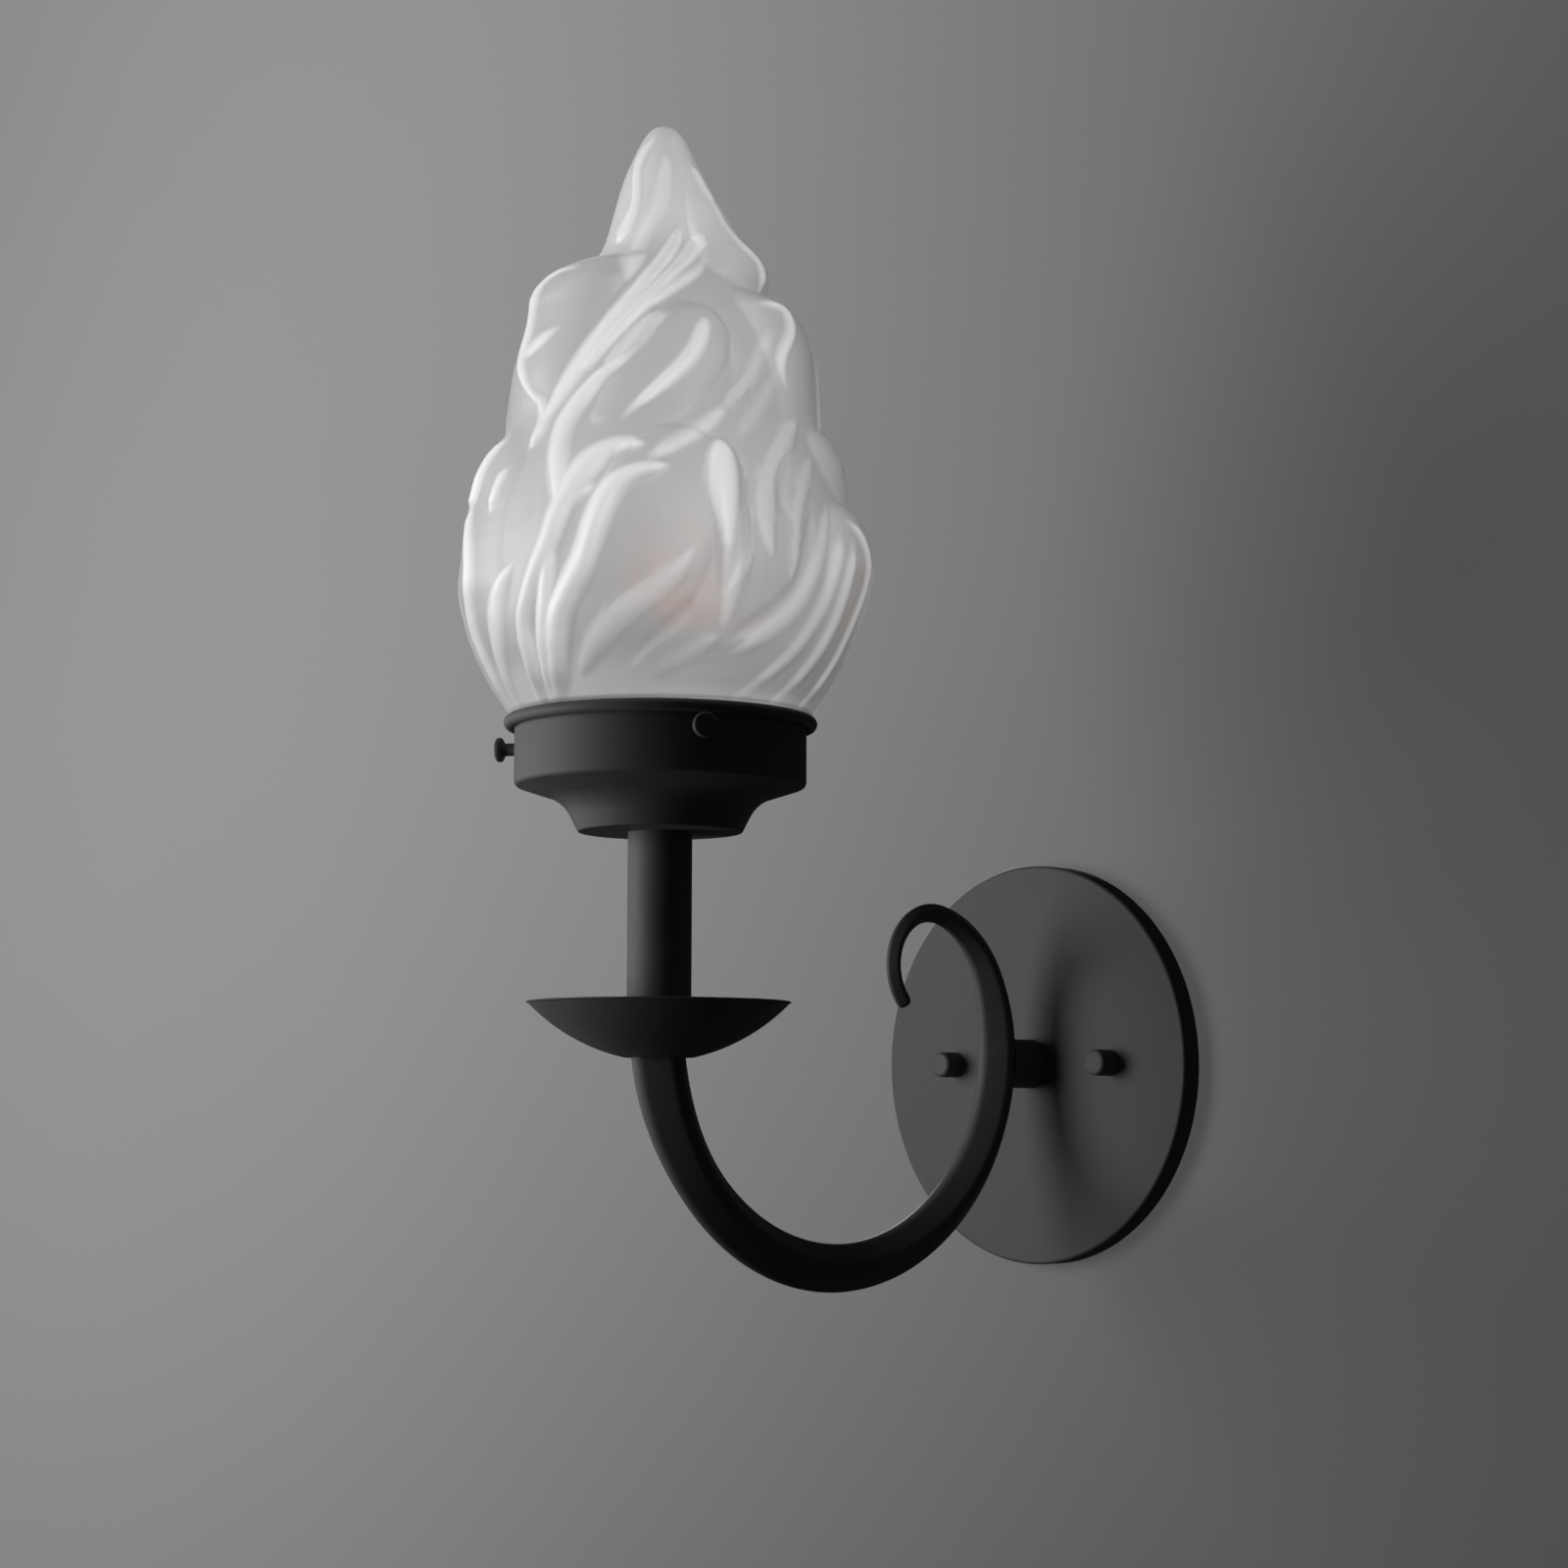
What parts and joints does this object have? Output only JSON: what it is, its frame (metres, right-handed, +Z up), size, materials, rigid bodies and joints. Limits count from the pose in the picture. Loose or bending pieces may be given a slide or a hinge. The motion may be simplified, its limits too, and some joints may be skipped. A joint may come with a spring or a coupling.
{
  "type": "torch wall sconce",
  "caption": "Wall sconce: a round backplate and a square-bar scroll arm carry a drip dish, a stem and a cup that holds a flame-shaped frosted glass shade over a screw-base lamp.",
  "frame": {"origin": "centre of the backplate, in the plane of the wall", "axes": "+Z up, the wall is the plane Y = 0 and the light stands out of it towards -Y, +X to the right seen from the room"},
  "size_m": [0.1334, 0.232, 0.3596],
  "materials": {
    "black_paint": "satin black powder coat on steel",
    "zinc_steel": "zinc-plated steel",
    "copper": "bare copper sheet",
    "green_paint": "green-coated steel screw",
    "black_wire": "black wire insulation",
    "white_wire": "white wire insulation",
    "brass": "plain stamped brass",
    "liner_card": "insulating fibre card",
    "phenolic": "dark moulded phenolic",
    "frosted_glass": "acid-frosted cast glass",
    "amber_glass": "clear amber lamp glass",
    "stem_glass": "clear stem glass",
    "filament": "yellow phosphor on the filaments",
    "black_glass": "black glass insulator of the lamp's base",
    "solder": "tinned contact"
  },
  "bodies": {
    "fixture": {"backplate": "black_paint", "crossbar": "zinc_steel", "canopy_studs": "zinc_steel", "stud_nuts": "zinc_steel", "arm_nipple": "zinc_steel", "nipple_washer": "zinc_steel", "nipple_locknut": "zinc_steel", "ground_screw": "green_paint", "ground_strap": "copper", "knuckle": "black_paint", "scroll_arm": "black_paint", "hot_wire": "black_wire", "neutral_wire": "white_wire", "drip_dish": "black_paint", "stem_tube": "black_paint", "torch_rod": "zinc_steel", "shade_holder": "black_paint", "holder_washer": "zinc_steel", "holder_locknut": "zinc_steel", "socket_cap": "brass", "socket_shell": "brass", "socket_liner": "liner_card", "socket_body": "phenolic", "socket_screw_shell": "brass", "socket_contact": "brass", "terminal_screws": "zinc_steel"},
    "shade": {"glass_shade": "frosted_glass"},
    "lamp": {"lamp_glass": "amber_glass", "lamp_base": "brass", "lamp_insulator": "black_glass", "lamp_contact": "solder", "lamp_mount": "stem_glass", "lamp_filaments": "filament"},
    "thumb_screw_1": {"thumb_screw_1": "black_paint"},
    "thumb_screw_2": {"thumb_screw_2": "black_paint"},
    "thumb_screw_3": {"thumb_screw_3": "black_paint"},
    "cap_nut_left": {"cap_nut_left": "black_paint"},
    "cap_nut_right": {"cap_nut_right": "black_paint"}
  },
  "joints": [
    {"name": "shade_lift", "type": "slide", "parent": "fixture", "child": "shade", "axis": [0, 0, 1], "range_m": [0, 0.12]},
    {"name": "lamp_unscrew", "type": "slide", "parent": "fixture", "child": "lamp", "axis": [0, 0, 1], "range_m": [0, 0.027]},
    {"name": "cap_nut_left_undo", "type": "slide", "parent": "fixture", "child": "cap_nut_left", "axis": [0, -1, 0], "range_m": [0, 0.01]},
    {"name": "cap_nut_right_undo", "type": "slide", "parent": "fixture", "child": "cap_nut_right", "axis": [0, -1, 0], "range_m": [0, 0.01]},
    {"name": "thumb_screw_1_travel", "type": "slide", "parent": "fixture", "child": "thumb_screw_1", "axis": [0.8988, -0.4384, 0], "range_m": [0, 0.0032]},
    {"name": "thumb_screw_2_travel", "type": "slide", "parent": "fixture", "child": "thumb_screw_2", "axis": [-0.829, -0.5592, 0], "range_m": [0, 0.0032]},
    {"name": "thumb_screw_3_travel", "type": "slide", "parent": "fixture", "child": "thumb_screw_3", "axis": [-0.0698, 0.9976, 0], "range_m": [0, 0.0032]}
  ]
}
